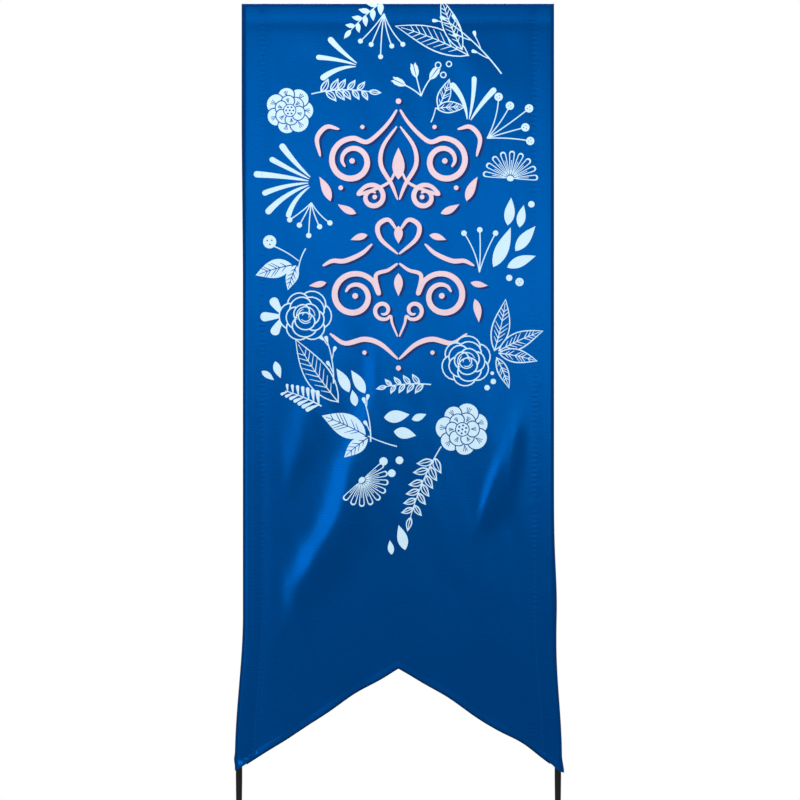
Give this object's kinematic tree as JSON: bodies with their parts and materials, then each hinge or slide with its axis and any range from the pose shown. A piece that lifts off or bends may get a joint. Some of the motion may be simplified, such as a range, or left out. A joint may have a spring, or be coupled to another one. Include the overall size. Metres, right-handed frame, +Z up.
{
  "type": "swallowtail banner on double pole frame",
  "caption": "Tall satin banner with a swallowtail cut, sewn in sleeves around an inverted-U frame of poles that slips over pointed ground stakes.",
  "frame": {"origin": "on the soil surface, midway between the two stakes", "axes": "+Z up along the poles, +X to the viewer's right, the printed front faces -Y"},
  "size_m": [0.6564, 0.06, 2.03],
  "materials": {
    "satin": "printed satin",
    "coated_steel": "satin powder coat",
    "black_plastic": "moulded matt",
    "spigot_alloy": "drawn"
  },
  "bodies": {
    "stakes": {"left_stake_rod": "coated_steel", "right_stake_rod": "coated_steel", "left_stop_collar": "coated_steel", "right_stop_collar": "coated_steel", "left_step_plate": "black_plastic", "right_step_plate": "black_plastic"},
    "lower_poles": {"left_lower_pole": "coated_steel", "right_lower_pole": "coated_steel", "left_stake_socket": "black_plastic", "right_stake_socket": "black_plastic", "left_lower_spigot": "spigot_alloy", "right_lower_spigot": "spigot_alloy"},
    "middle_poles": {"left_middle_pole": "coated_steel", "right_middle_pole": "coated_steel", "left_upper_spigot": "spigot_alloy", "right_upper_spigot": "spigot_alloy"},
    "upper_poles": {"left_upper_pole": "coated_steel", "right_upper_pole": "coated_steel"},
    "banner": {"banner_panel": "satin", "left_pole_sleeve": "satin", "right_pole_sleeve": "satin", "top_sleeve": "satin", "left_notch_hem": "satin", "right_notch_hem": "satin", "top_bar": "coated_steel", "left_corner_elbow": "black_plastic", "right_corner_elbow": "black_plastic"}
  },
  "joints": [
    {"name": "stake_slide", "type": "slide", "parent": "stakes", "child": "lower_poles", "axis": [0, 0, 1], "range_m": [0, 0.13]},
    {"name": "lower_joint_slide", "type": "slide", "parent": "lower_poles", "child": "middle_poles", "axis": [0, 0, 1], "range_m": [0, 0.045]},
    {"name": "upper_joint_slide", "type": "slide", "parent": "middle_poles", "child": "upper_poles", "axis": [0, 0, 1], "range_m": [0, 0.045]},
    {"name": "corner_slide", "type": "slide", "parent": "upper_poles", "child": "banner", "axis": [0, 0, 1], "range_m": [0, 0.035]}
  ]
}
